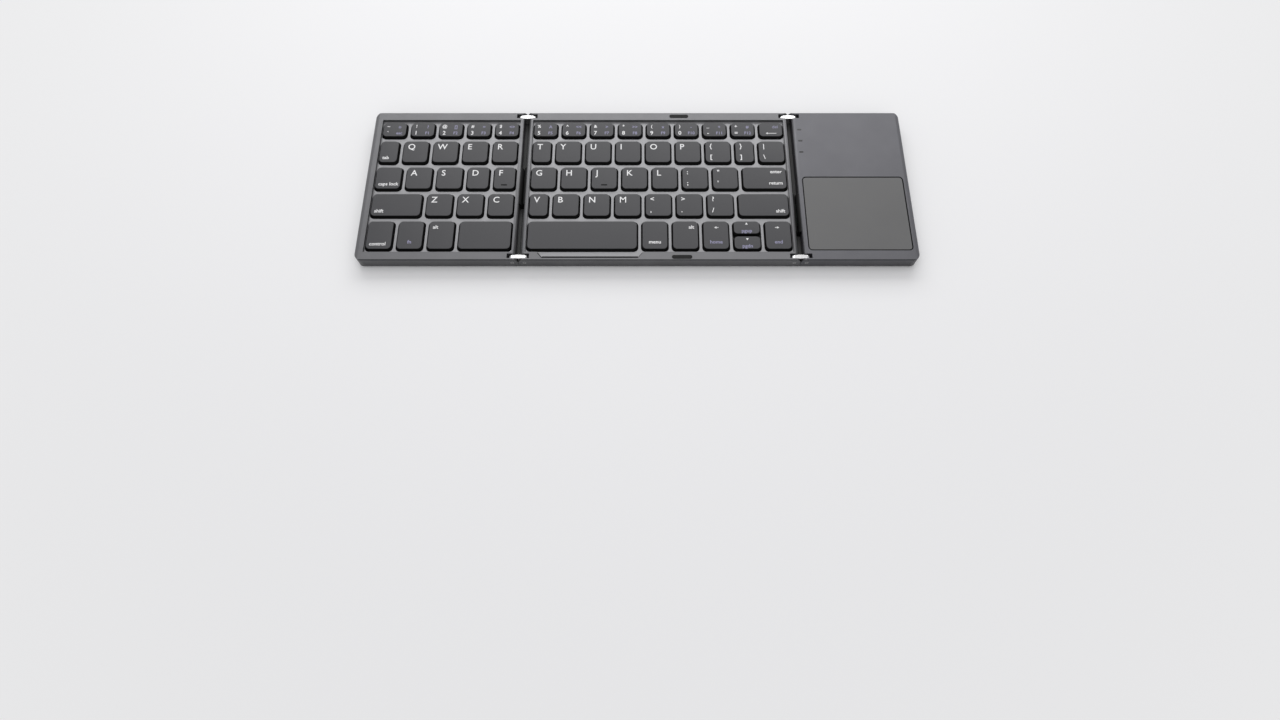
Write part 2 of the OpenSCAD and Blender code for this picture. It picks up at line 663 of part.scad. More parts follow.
// The right wing holds the touchpad, the electronics and the battery
wing_w = right_end - right_pin;
pad_w = wing_w - pad_hinge - pad_in;
pad_d = body_d - pad_rear - pad_front;
pad_x = right_end - pad_in - pad_w / 2;
pad_y = front_y + pad_front + pad_d / 2;
main_board_w = wing_w - main_board_hinge - main_board_in;
battery_w = wing_w - battery_hinge - battery_in;
battery_d = body_d - battery_rear - battery_gap - main_board_d - main_board_front;
chip_pitch = (main_board_w - 2 * chip_in - chip_w) / (chip_n - 1);
board_z = top_z - right_top_t - board_t;
lens_x = right_pin + lens_in;
lens_ys = [for (i = [0:lens_n - 1]) rear_y - lens_first - i * lens_pitch];
main_x = [right_end - main_board_in - main_board_w, right_end - main_board_in];
main_y = [front_y + main_board_front, front_y + main_board_front + main_board_d];
main_z = seam_z + board_lift;
socket_y = front_y + socket_front;
socket_x = right_end - socket_sink - socket_l;
module right_top_cover() {
  color("slategray") difference() {
    case_block(RIGHT);
    translate([right_pin - 2 * barrel_r, front_y - eps, -eps])
      cube([right_end - right_pin + 4 * barrel_r, body_d + 2 * eps, seam_z + eps]);
    span_box([right_pin + rim_gap, right_end - end_wall], [front_y + long_wall, rear_y - long_wall],
      [seam_z - eps, top_z - right_top_t]);
    translate([pad_x, pad_y, board_z]) linear_extrude(board_t)
      touchpad_outline(pad_groove + board_lap + board_fit);
    translate([pad_x, pad_y, board_z]) linear_extrude(case_t) touchpad_outline(pad_groove);
    for (y = lens_ys) translate([lens_x, y, board_z]) linear_extrude(case_t)
      pill(lens_l + 2 * lens_fit, lens_w + 2 * lens_fit);
    hinge_cuts(RIGHT);
    link_notches(RIGHT);
    pin_bores(RIGHT);
    screw_bores(RIGHT);
    cable_slot(right_pin, right_passage);
    translate([right_end - end_wall - eps, socket_y - socket_w / 2 - socket_fit, main_z + board_t - socket_fit])
      cube([end_wall + 2 * eps, socket_w + 2 * socket_fit, socket_h + 2 * socket_fit]);
  }
}
module touchpad_outline(grow) { round_rect(pad_w + 2 * grow, pad_d + 2 * grow, pad_r + grow); }
module right_bottom_cover() {
  color("darkslategray") {
    bottom_cover(RIGHT);
    for (x = [main_x[0] + pcb_boss_in, main_x[1] - pcb_boss_in])
      for (y = [main_y[0] + pcb_boss_in, main_y[1] - pcb_boss_in])
        translate([x, y, seam_z - cover_t / 2]) cylinder(h = cover_t / 2 + board_lift, r = pcb_boss_r);
  }
}
module touchpad_surface() {
  color("gray") translate([pad_x, pad_y, board_z + board_t]) linear_extrude(right_top_t - key_sink)
    touchpad_outline(0);
}
module touchpad_board() {
  color("darkgreen") translate([pad_x, pad_y, board_z]) linear_extrude(board_t)
    touchpad_outline(pad_groove + board_lap);
}
module main_board() {
  color("darkgreen") {
    span_box(main_x, main_y, [main_z, main_z + board_t]);
    for (i = [0:chip_n - 1])
      translate([main_x[0] + chip_in + i * chip_pitch, main_y[0] + chip_in, main_z + board_t / 2])
        cube([chip_w, chip_w, chip_t + board_t / 2]);
  }
}
module battery() {
  color("lightsteelblue") translate([right_pin + battery_hinge, rear_y - battery_rear - battery_d, seam_z])
    cube([battery_w, battery_d, battery_t]);
}
module charging_socket() {
  color("silver") translate([socket_x, socket_y - socket_w / 2, main_z + board_t]) {
    difference() {
      cube([socket_l, socket_w, socket_h]);
      translate([shell_t, shell_t, shell_t]) cube([socket_l, socket_w - 2 * shell_t, socket_h - 2 * shell_t]);
    }
    translate([0, (socket_w - tongue_w) / 2, (socket_h - tongue_t) / 2]) cube([tongue_l, tongue_w, tongue_t]);
  }
}
module indicator_lenses() {
  color("white") for (y = lens_ys) translate([lens_x, y, 0]) {
    translate([0, 0, top_z - right_top_t - lens_flange_t / 2])
      linear_extrude(right_top_t + lens_flange_t / 2 - lens_sink) pill(lens_l, lens_w);
    translate([-lens_l / 2, -lens_w / 2 - lens_flange, top_z - right_top_t - lens_flange_t])
      cube([lens_l, lens_w + 2 * lens_flange, lens_flange_t]);
  }
}
module right_ribbon_cable() {
  from = right_pin - barrel_r;
  bend = main_x[0] - ribbon_run;
  land = main_x[0];
  low = main_z + board_t;
  color("orange") across(rear_y - right_passage - flat_w / 2, rear_y - right_passage + flat_w / 2)
    polygon([[from, membrane_z], [bend, membrane_z], [land, low], [land + ribbon_run, low],
      [land + ribbon_run, low + ribbon_t], [land, low + ribbon_t], [bend, membrane_z + ribbon_t],
      [from, membrane_z + ribbon_t]]);
}

left_frame();
left_bottom_cover();
left_key_plate();
left_membrane();
left_domes();
left_feet();
left_screws();
left_grommet();
left_hinge_pins();
centre_frame();
centre_bottom_cover();
centre_key_plate();
centre_membrane();
centre_domes();
centre_feet();
centre_screws();
centre_bumpers();
centre_grommets();
centre_hinge_pins();
right_top_cover();
right_bottom_cover();
touchpad_surface();
touchpad_board();
main_board();
battery();
charging_socket();
indicator_lenses();
right_ribbon_cable();
right_feet();
right_screws();
right_grommet();
right_hinge_pins();
left_hinge_links();
right_hinge_links();
left_number_keys();
tab_key();
qwer_keys();
caps_lock_key();
asdf_keys();
left_shift_key();
zxc_keys();
control_key();
fn_key();
left_alt_key();
left_space_key();
centre_number_keys();
backspace_key();
top_letter_keys();
home_letter_keys();
enter_key();
low_letter_keys();
right_shift_key();
space_bar();
command_key();
right_alt_key();
left_arrow_key();
up_arrow_key();
down_arrow_key();
right_arrow_key();
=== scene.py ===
"""Looks of the folding keyboard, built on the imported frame. Lengths in the helpers are millimetres."""

from math import atan2, radians

import bmesh
import bpy
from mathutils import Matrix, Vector


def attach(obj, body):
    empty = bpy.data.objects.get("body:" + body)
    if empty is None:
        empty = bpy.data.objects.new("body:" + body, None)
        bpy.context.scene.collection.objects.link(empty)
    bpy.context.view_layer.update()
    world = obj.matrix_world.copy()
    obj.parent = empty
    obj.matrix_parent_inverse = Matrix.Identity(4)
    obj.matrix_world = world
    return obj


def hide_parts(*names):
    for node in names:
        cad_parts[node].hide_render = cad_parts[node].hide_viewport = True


MM = 0.001
# Painted shade: levels of the paint against the top's on the side faces, darker still at their foot, and on the
# chamfers. Painted light: level of the deck.
SIDE_SHADE, FOOT_SHADE, CHAMFER_SHADE, DECK_LIGHT = 0.68, 0.45, 0.35, 148

# Layout of the keys, with the same figures as the solids
BODY_W, BODY_D, LEFT_W, MEET_GAP = 304.5, 97.95, 88.1, 0.6
PIN_HALF = 3.3
REAR, FRONT, LEFT_END, RIGHT_END = BODY_D / 2, -BODY_D / 2, -BODY_W / 2, BODY_W / 2
LEFT_GAP = LEFT_END + LEFT_W
RIGHT_GAP = LEFT_GAP + (BODY_W + MEET_GAP) / 2
RIM_END, RIM_REAR, RIM_FRONT, RIM_GAP = 4.3, 5.4, 5.05, 0.3
KEY_MARGIN, REAR_MARGIN, FRONT_MARGIN = 0.4, 1.8, 1.0
KEY_GAP, ROW_GAP, ARROW_GAP, SIZE_STEP = 1.9, 2.4, 0.6, 0.02
KEY_TOP, KEY_H, KEY_R, KEY_ROOF, KEY_SKIRT = 7.7, 1.8, 2.4, 0.9, 0.8
PAD_HINGE, PAD_IN, PAD_REAR, PAD_FRONT, PAD_R = 1.25, 3.1, 45, 6.25, 2
# Heights in mm: the painted shade of the side faces deepens from SIDE_Z down to SEAM_Z, the deck's painted light
# lies below DECK_BELOW, and DECK_Z is the deck's level
SEAM_Z, SIDE_Z, DECK_Z, DECK_BELOW = 1.6, 6.0, 6.2, 6.5
# The recess for the thumbs, and the widths of the painted shadow along its front and its ends
SCOOP_IN, SCOOP_SLOPE, SCOOP_FRONT, SCOOP_SHADOW_W, SCOOP_END_SHADOW_W = 5.7, 3, 1.3, 1.8, 0.8
LEFT_TRAY = (LEFT_END + RIM_END, LEFT_GAP - PIN_HALF - RIM_GAP)
CENTRE_TRAY = (LEFT_GAP + PIN_HALF + RIM_GAP, RIGHT_GAP - PIN_HALF - RIM_GAP)
LEFT_ROWS = [[14.4] * 5, [11.4, 15.2, 15.2, 15.2, 14.9], [15.2, 15.3, 15.3, 13.2, 12.9],
             [28.6, 15.3, 15.3, 14.9], [14.9, 14.8, 14.9, 29.6]]
CENTRE_ROWS = [[14.4] * 9, [11.2, 15, 15, 15, 15, 15, 15.1, 11.3, 15.3],
               [15, 15.2, 15.2, 15.1, 15, 15.2, 15, 25.4],
               [11.2, 15.2, 15.2, 15.1, 15.2, 15.2, 15.3, 28.6], [61, 14.8, 14.9, 14.8, 15.4, 15]]
ROW_DEPTHS = [10.6, 15.5, 15.4, 15.3, 18.4]


def fitted(values, room, gap):
    k = (room - gap * (len(values) - 1)) / sum(values)
    return [round(v * k / SIZE_STEP) * SIZE_STEP for v in values]


ROWS_D = fitted(ROW_DEPTHS, BODY_D - RIM_REAR - RIM_FRONT - REAR_MARGIN - FRONT_MARGIN, ROW_GAP)


def key_at(rows, tray, r, i):
    """Left, front, right and rear of a key."""
    w = fitted(rows[r], tray[1] - tray[0] - 2 * KEY_MARGIN, KEY_GAP)
    x = tray[0] + KEY_MARGIN + sum(w[:i]) + i * KEY_GAP
    y = REAR - RIM_REAR - REAR_MARGIN - sum(ROWS_D[:r]) - r * ROW_GAP
    return x, y - ROWS_D[r], x + w[i], y


def arrow_half(side):
    x0, y0, x1, y1 = key_at(CENTRE_ROWS, CENTRE_TRAY, 4, 4)
    d = (y1 - y0 - ARROW_GAP) / 2
    return (x0, y1 - d, x1, y1) if side > 0 else (x0, y0, x1, y0 + d)


# Materials: a small wrapper, so that shader maths reads like arithmetic
class Value:
    def __init__(self, maker, socket):
        self.maker, self.socket = maker, socket

    def _math(self, op, other):
        node = self.maker.node("ShaderNodeMath", operation=op)
        self.maker.put(node.inputs[0], self)
        self.maker.put(node.inputs[1], other)
        return Value(self.maker, node.outputs[0])

    def __add__(self, other):
        return self._math("ADD", other)

    def __mul__(self, other):
        return self._math("MULTIPLY", other)

    def over(self, limit):
        return self._math("GREATER_THAN", limit)

    def flipped(self):
        """1 minus the value."""
        node = self.maker.node("ShaderNodeMath", operation="SUBTRACT")
        node.inputs[0].default_value = 1.0
        self.maker.put(node.inputs[1], self)
        return Value(self.maker, node.outputs[0])


class Maker:
    """One material: its node tree and its Principled shader."""

    def __init__(self, name, **numbers):
        self.mat = bpy.data.materials.new(name)
        self.mat.use_nodes = True
        self.tree = self.mat.node_tree
        self.shader = self.tree.nodes["Principled BSDF"]
        for key, value in numbers.items():
            self.shader.inputs[key.replace("_", " ")].default_value = value

    def node(self, kind, **settings):
        node = self.tree.nodes.new(kind)
        for key, value in settings.items():
            setattr(node, key, value)
        return node

    def put(self, socket, value):
        if isinstance(value, Value):
            self.tree.links.new(value.socket, socket)
        else:
            socket.default_value = value

    def coords(self):
        return Value(self, self.node("ShaderNodeTexCoord").outputs["Object"])

    def height(self, vector):
        """The third number of a vector."""
        node = self.node("ShaderNodeSeparateXYZ")
        self.put(node.inputs[0], vector)
        return Value(self, node.outputs["Z"])

    def noise(self, size, detail=2.0):
        """Noise with features of that size in millimetres."""
        node = self.node("ShaderNodeTexNoise")
        self.put(node.inputs["Vector"], self.coords())
        node.inputs["Scale"].default_value = 1 / (size * MM)
        node.inputs["Detail"].default_value = detail
        return Value(self, node.outputs[0])

    def mix(self, factor, a, b):
        node = self.node("ShaderNodeMix", data_type="RGBA")
        for socket, value in ((node.inputs[0], factor), (node.inputs[6], a), (node.inputs[7], b)):
            self.put(socket, value if isinstance(value, (Value, float)) else (*value, 1.0))
        return Value(self, node.outputs[2])

    def ramp(self, value, low, high, kind="LINEAR"):
        """0 to 1 as value goes from low to high."""
        node = self.node("ShaderNodeMapRange", interpolation_type=kind)
        self.put(node.inputs[0], value)
        node.inputs[1].default_value = low
        node.inputs[2].default_value = high
        return Value(self, node.outputs[0])

    def clouds(self, size, detail=2.0):
        """Noise of that size with its contrast raised."""
        return self.ramp(self.noise(size, detail), low=0.3, high=0.7)

    def bump(self, height, depth):
        """Relief of that depth in millimetres."""
        node = self.node("ShaderNodeBump")
        node.inputs["Strength"].default_value = 1.0
        node.inputs["Distance"].default_value = depth * MM
        self.put(node.inputs["Height"], height)
        self.put(self.shader.inputs["Normal"], Value(self, node.outputs[0]))

    def color(self, value):
        self.put(self.shader.inputs["Base Color"], value)

    def rough(self, value):
        self.put(self.shader.inputs["Roughness"], value)


GAMMA = 2.2


def linear(*levels):
    """A colour from sRGB levels between 0 and 255."""
    return tuple((v / 255) ** GAMMA for v in levels)


def grey(level, blue=0.0):
    """A grey from an sRGB level, bluer by a few levels."""
    return linear(level, level, level + blue)


# Feature sizes of the paint's noises: metal flakes, clouds, haze and grain
FLAKE, CLOUD, HAZE, GRAIN = 0.12, 14.0, 6.0, 0.16
# How much lighter a flake and a cloud are than the paint, and how much of a cloud shows
FLAKE_LIGHT, CLOUD_LIGHT, CLOUD_SHARE = 30, 60, 0.06
# Upward share of the normals that count as a flat top and as a chamfer
FLAT_UP, CHAMFER_UP = 0.93, 0.3
# What the haze adds to the roughness, and the depth of the grain
HAZE_ROUGH, GRAIN_DEPTH = 0.08, 0.006


def paint(name, level, blue, metallic, rough, flake):
    """Fine metallic paint with painted light: the side faces, darker towards their foot, and the chamfers carry
    painted shade, and the deck between the keys is painted lighter.
    """
    m = Maker(name, Metallic=metallic)
    fleck = m.ramp(m.noise(FLAKE, detail=1.0), low=0.35, high=0.65)
    cloud = m.clouds(CLOUD)
    up = m.height(Value(m, m.node("ShaderNodeTexCoord").outputs["Normal"]))
    flat_top = up.over(FLAT_UP)
    # Painted shade: the side faces are painted darker than the top, and darker still towards their foot
    high = m.ramp(m.height(m.coords()), low=SEAM_Z * MM, high=SIDE_Z * MM)
    side = m.mix(high, grey(level * FOOT_SHADE, blue), grey(level * SIDE_SHADE, blue))
    base = m.mix(flat_top, side, grey(level, blue))
    # Painted shade: the chamfers are painted darker than the top
    base = m.mix(up.over(CHAMFER_UP) * flat_top.flipped(), base, grey(level * CHAMFER_SHADE, blue))
    # Painted light: the deck's flat faces below the rim are painted lighter than the paint's level
    low = m.height(m.coords()).over(DECK_BELOW * MM).flipped()
    base = m.mix(flat_top * low, base, grey(DECK_LIGHT, blue))
    light = m.mix(cloud * CLOUD_SHARE, base, grey(level + CLOUD_LIGHT, blue))
    m.color(m.mix(fleck * flake, light, grey(level + FLAKE_LIGHT, blue)))
    m.rough(m.ramp(m.noise(HAZE), low=0.0, high=1.0) * HAZE_ROUGH + rough)
    m.bump(m.noise(GRAIN, detail=1.0), GRAIN_DEPTH)
    return m.mat


def moulded(name, level, blue, rough, grain, relief, wear=3.0, shine=0.5):
    """Spark-eroded or satin plastic."""
    m = Maker(name, Specular_IOR_Level=shine)
    wide = m.clouds(18.0, detail=3.0)
    fine = m.clouds(grain)
    base = m.mix(wide, grey(level - wear / 2, blue), grey(level + wear / 2, blue))
    m.color(m.mix(fine * 0.35, base, grey(level + 6, blue)))
    m.rough(wide * 0.06 + rough)
    m.bump(m.noise(grain), relief)
    return m.mat


def rubber(name, level):
    m = Maker(name, Specular_IOR_Level=0.3)
    dust = m.ramp(m.noise(2.5, detail=4.0), low=0.45, high=0.75)
    m.color(m.mix(dust, grey(level), grey(level + 8)))
    m.rough(dust * 0.12 + 0.62)
    m.bump(m.noise(0.3), depth=0.02)
    return m.mat


def metal(name, level, rough, scratch=0.0):
    m = Maker(name, Metallic=1.0)
    soft = m.clouds(3.0, detail=3.0)
    m.color(m.mix(soft, grey(level - 6), grey(level)))
    m.rough(soft * 0.08 + rough)
    if scratch:
        m.bump(m.noise(0.25), scratch)
    return m.mat


def flat(name, color, rough=0.5, metallic=0.0):
    m = Maker(name, Roughness=rough, Metallic=metallic)
    m.color((*color, 1.0))
    return m.mat


def board_paint(name):
    """Solder mask with wavy traces."""
    m = Maker(name, Roughness=0.35)
    lines = m.node("ShaderNodeTexWave")
    m.put(lines.inputs["Vector"], m.coords())
    lines.inputs["Scale"].default_value = 400.0
    lines.inputs["Distortion"].default_value = 6.0
    trace = Value(m, lines.outputs["Fac"]).over(0.82)
    m.color(m.mix(trace, (0.008, 0.07, 0.03), (0.03, 0.17, 0.08)))
    m.bump(trace, depth=0.02)
    return m.mat


MATS = {}


# After the name: for paint its level, blueness, metallic share, roughness and share of flakes; for moulded its
# level, blueness, roughness, size and depth of the grain, and then wear and shine; for metal its level and roughness
def make_materials():
    # Painted shade: the left frame has the centre's paint, three levels darker
    MATS["case_left_shaded"] = paint("case_paint_left_shaded", 100, 2, 0.45, 0.36, 0.35)
    MATS["case"] = paint("case_paint", 103, 2, 0.45, 0.36, 0.35)
    MATS["panel"] = paint("panel_paint", 91, 4, 0.4, 0.40, 0.3)
    MATS["cover"] = moulded("cover_plastic", 66, 0.0, 0.52, 0.35, 0.03)
    MATS["cap"] = moulded("keycap_top", 60, 2.5, 0.44, 0.14, 0.006, 2.0)
    # Painted shade: the keycaps' black skirts and the other dark marks drawn in this material
    MATS["skirt"] = moulded("keycap_skirt", 7, 0.0, 0.6, 0.3, 0.008, 1.0, 0.15)
    MATS["touchpad"] = moulded("touchpad_sheet", 94, 0, 0.36, 0.1, 0.003, 2.0)
    MATS["rubber"] = rubber("black_rubber", 20)
    MATS["dome"] = moulded("dome_silicone", 205, 2.0, 0.5, 0.5, 0.01)
    MATS["steel"] = metal("pressed_steel", 190, 0.34, 0.01)
    MATS["chrome"] = metal("polished_link", 236, 0.16)
    MATS["pin"] = metal("pin_steel", 150, 0.3)
    MATS["screw"] = metal("black_screw", 70, 0.38)
    MATS["board"] = board_paint("green_board")
    MATS["dark_board"] = flat("black_board", grey(10), 0.6)
    MATS["film"] = flat("membrane_film", (0.16, 0.3, 0.26), 0.3)
    MATS["dark_film"] = flat("printed_membrane", grey(40), 0.45)
    MATS["cell"] = metal("battery_foil", 190, 0.4, 0.03)
    MATS["lens"] = flat("indicator_lens", grey(46), 0.25)
    MATS["white"] = flat("white_print", grey(232), 0.5)
    MATS["blue"] = flat("blue_print", linear(142, 140, 168), 0.5)
    MATS["gold"] = flat("gold_contact", (0.75, 0.5, 0.18), 0.25, 1.0)


# Steps of the rounded corners seen from above, the share of a normal along z that makes a face level, and the
# angle below which edges are shaded smooth
CORNER_STEPS, LEVEL_FACE, SMOOTH_UNDER = 7, 0.9, 40


# Modelling helpers
def clear():
    bpy.ops.object.select_all(action="DESELECT")


def only(*objects):
    clear()
    for o in objects:
        o.select_set(True)
    bpy.context.view_layer.objects.active = objects[0]


def join(objects, name):
    only(*objects)
    if len(objects) > 1:
        bpy.ops.object.join()
    o = bpy.context.view_layer.objects.active
    o.name = o.data.name = name
    return o


def edit(o):
    only(o)
    bpy.ops.object.mode_set(mode="EDIT")
    return bmesh.from_edit_mesh(o.data)


def pick(bm, edge_test=None, face_test=None):
    bpy.ops.mesh.select_all(action="DESELECT")
    bpy.ops.mesh.select_mode(type="EDGE" if edge_test else "FACE")
    for e in bm.edges if edge_test else bm.faces:
        if (edge_test or face_test)(e):
            e.select = True
    bm.select_flush_mode()


def block(x, y, z, mat):
    """A box between two values on each axis, with its place in its mesh."""
    middle = [(a[0] + a[1]) / 2 * MM for a in (x, y, z)]
    bpy.ops.mesh.primitive_cube_add(size=1, location=middle,
                                    scale=[(a[1] - a[0]) * MM for a in (x, y, z)])
    bpy.ops.object.transform_apply(location=True, rotation=True, scale=True)
    o = bpy.context.object
    o.data.materials.append(MATS[mat])
    return o


def smooth(o, angle=SMOOTH_UNDER):
    only(o)
    bpy.ops.object.shade_smooth_by_angle(angle=radians(angle))


# Insets of a cap's top from its foot, and the rounding between the top and the skirts with its steps and profile
CAP_SIDE, CAP_FRONT, CAP_REAR = 0.65, 1.05, 0.3
CAP_ROUND, CAP_STEPS, CAP_PROFILE = 0.2, 4, 0.6
# Upward share of the normals: skirts stay below the first; faces above the second keep the cap's colour, the steeper
# ones get the black painted shade
SKIRT_UP, CAP_COLOUR_UP = 0.6, 0.75
# Slack when what lies at a level is picked
EPS = 0.001


def keycap(box):
    """A keycap: tapered skirts in black painted shade below the top in the cap's colour, with rounded corners and
    hollow below.
    """
    x0, y0, x1, y1 = box
    bottom, top = KEY_TOP - KEY_H, (KEY_TOP - EPS) * MM
    o = block((x0, x1), (y0, y1), (bottom, KEY_TOP), "skirt")
    o.data.materials.append(MATS["cap"])
    bm = edit(o)
    pick(bm, edge_test=lambda e: abs(e.verts[0].co.z - e.verts[1].co.z) > MM)
    bpy.ops.mesh.bevel(offset=KEY_R * MM, segments=CORNER_STEPS, affect="EDGES")
    pick(bmesh.from_edit_mesh(o.data), face_test=lambda f: all(v.co.z > top for v in f.verts))
    bpy.ops.transform.resize(
        value=(1 - 2 * CAP_SIDE / (x1 - x0), 1 - (CAP_FRONT + CAP_REAR) / (y1 - y0), 1),
        center_override=((x0 + x1) / 2 * MM, (y0 + y1) / 2 * MM, KEY_TOP * MM))
    bpy.ops.transform.translate(value=(0, (CAP_FRONT - CAP_REAR) / 2 * MM, 0))
    pick(bmesh.from_edit_mesh(o.data), edge_test=lambda e: all(v.co.z > top for v in e.verts)
         and any(f.normal.z < SKIRT_UP for f in e.link_faces))
    bpy.ops.mesh.bevel(offset=CAP_ROUND * MM, segments=CAP_STEPS, affect="EDGES", profile=CAP_PROFILE)
    pick(bmesh.from_edit_mesh(o.data), face_test=lambda f: f.normal.z < -LEVEL_FACE)
    bpy.ops.mesh.inset(thickness=KEY_SKIRT * MM)
    bpy.ops.mesh.extrude_region_move(TRANSFORM_OT_translate={"value": (0, 0, (KEY_H - KEY_ROOF) * MM)})
    bm = bmesh.from_edit_mesh(o.data)
    # Painted shade: the skirts and the lower part of their rounding get the black material, the faces that face up
    # the cap's colour
    for f in bm.faces:
        f.material_index = int(f.normal.z > CAP_COLOUR_UP)
    bmesh.update_edit_mesh(o.data)
    bpy.ops.object.mode_set(mode="OBJECT")
    smooth(o)
    return o


# The bar on F and J, in black painted shade: half its width, its depth, its distance from the key's front and its
# rise, and its rounding with the angle below which it is shaded smooth
BAR_HALF, BAR_D, BAR_FRONT, BAR_UP = 1.7, 0.7, 3.0, 0.08
BAR_ROUND, BAR_SMOOTH = 0.06, 60


def finger_bar(box):
    middle, front = (box[0] + box[2]) / 2, box[1] + BAR_FRONT
    o = block((middle - BAR_HALF, middle + BAR_HALF), (front, front + BAR_D),
              (KEY_TOP - BAR_UP, KEY_TOP + BAR_UP), "skirt")
    edit(o)
    bpy.ops.mesh.select_all(action="SELECT")
    bpy.ops.mesh.bevel(offset=BAR_ROUND * MM, segments=2, affect="EDGES")
    bpy.ops.object.mode_set(mode="OBJECT")
    smooth(o, BAR_SMOOTH)
    return o


# Thickness of the print, the width of an arrow's shaft, and the font's cap height against its size
INK, SHAFT_W, FONT_CAP = 0.01, 0.32, 0.7


def word(text, x, y, size, mat, align, bold):
    """Flat print with that cap height on a key's top, from the built-in font."""
    bpy.ops.object.text_add(location=(0, 0, 0))
    o = bpy.context.object
    o.data.body = text
    o.data.size = size / FONT_CAP * MM
    o.data.align_x = align
    o.data.offset = bold * MM
    o.data.extrude = INK * MM
    o.data.resolution_u = 3
    bpy.ops.object.convert(target="MESH")
    o = bpy.context.object
    o.location = (x * MM, y * MM, KEY_TOP * MM)
    bpy.ops.object.transform_apply(location=True, rotation=True, scale=True)
    o.data.materials.clear()
    o.data.materials.append(MATS[mat])
    return o


def arrow(x, y, turn, size, length):
    """A printed arrow head with an optional shaft, pointing left before it is turned."""
    bpy.ops.mesh.primitive_cylinder_add(vertices=3, radius=size * MM, depth=2 * INK * MM,
                                        location=(0, 0, 0), rotation=(0, 0, radians(90)))
    head = bpy.context.object
    parts = [head]
    if length:
        bpy.ops.mesh.primitive_cube_add(size=1, location=(length / 2 * MM, 0, 0),
                                        scale=(length * MM, SHAFT_W * MM, 2 * INK * MM))
        parts.append(bpy.context.object)
    for o in parts:
        only(o)
        bpy.ops.object.transform_apply(location=True, rotation=True, scale=True)
    o = join(parts, "arrow")
    o.rotation_euler.z = radians(turn)
    o.location = (x * MM, y * MM, KEY_TOP * MM)
    only(o)
    bpy.ops.object.transform_apply(location=True, rotation=True, scale=True)
    o.data.materials.clear()
    o.data.materials.append(MATS["white"])
    return o


LETTER, SIGN, DIGIT, WORD, SMALL, F_KEY = 3.7, 2.8, 2.5, 2.1, 2.0, 1.9
# Cap heights above. Prints of each kind of legend: number of its text, distance from the left edge (below 0 from
# the right one, None in the middle) and from the front edge (below 0 from the rear one), cap height, material,
# alignment and boldness
PRINTS = {
    "letter": [(0, 2.9, -5.8, LETTER, "white", "LEFT", 0.05)],
    "pair": [(0, 3.0, -4.9, SIGN, "white", "LEFT", 0.07), (1, 3.0, 3.2, SIGN, "white", "LEFT", 0.07)],
    "number": [(0, 3.4, -3.6, SMALL, "white", "CENTER", 0.06), (1, 3.4, 2.1, DIGIT, "white", "CENTER", 0.06),
               (2, -4.4, 2.3, F_KEY, "blue", "CENTER", 0.04), (3, -4.4, -4.0, SMALL, "blue", "CENTER", 0.04)],
    "low_left": [(0, 2.4, 3.0, WORD, "white", "LEFT", 0.05)],
    "low_right": [(0, -2.6, 3.0, WORD, "white", "RIGHT", 0.05)],
    "two_right": [(0, -2.8, -4.2, WORD, "white", "RIGHT", 0.05), (1, -2.6, 3.6, WORD, "white", "RIGHT", 0.05)],
    "high_left": [(0, 2.6, -4.9, WORD, "white", "LEFT", 0.05)],
    "high_right": [(0, -2.6, -4.9, WORD, "white", "RIGHT", 0.05)],
    "middle": [(0, None, 4.2, WORD, "white", "CENTER", 0.05)],
    "blue_middle": [(0, None, 4.2, WORD, "blue", "CENTER", 0.05)],
    "arrow": [(1, None, 4.2, WORD, "blue", "CENTER", 0.04)],
    "half_arrow": [(1, None, 1.7, WORD, "blue", "CENTER", 0.04)],
    "back_arrow": [(1, -4.6, -4.0, SMALL, "blue", "CENTER", 0.0)]}
# Arrows: distance from the middle and from the front (below 0 from the rear) edge, radius of the head and
# length of the shaft
ARROWS = {"arrow": (0, -4.2, 0.85, 1.5), "half_arrow": (0, -1.9, 0.85, 0.0), "back_arrow": (-2.2, 3.0, 0.8, 5.4)}


def legend(box, kind, *texts):
    """The prints of one key. An arrow's first text is its turn."""
    x0, y0, x1, y1 = box
    made = []
    if kind in ARROWS:
        dx, dy, size, length = ARROWS[kind]
        made.append(arrow((x0 + x1) / 2 + dx, (y0 if dy > 0 else y1) + dy, texts[0], size, length))
    for number, dx, dy, size, mat, align, bold in PRINTS.get(kind, []):
        x = (x0 + x1) / 2 if dx is None else (x0 if dx > 0 else x1) + dx
        made.append(word(texts[number], x, (y0 if dy > 0 else y1) + dy, size, mat, align, bold))
    return made


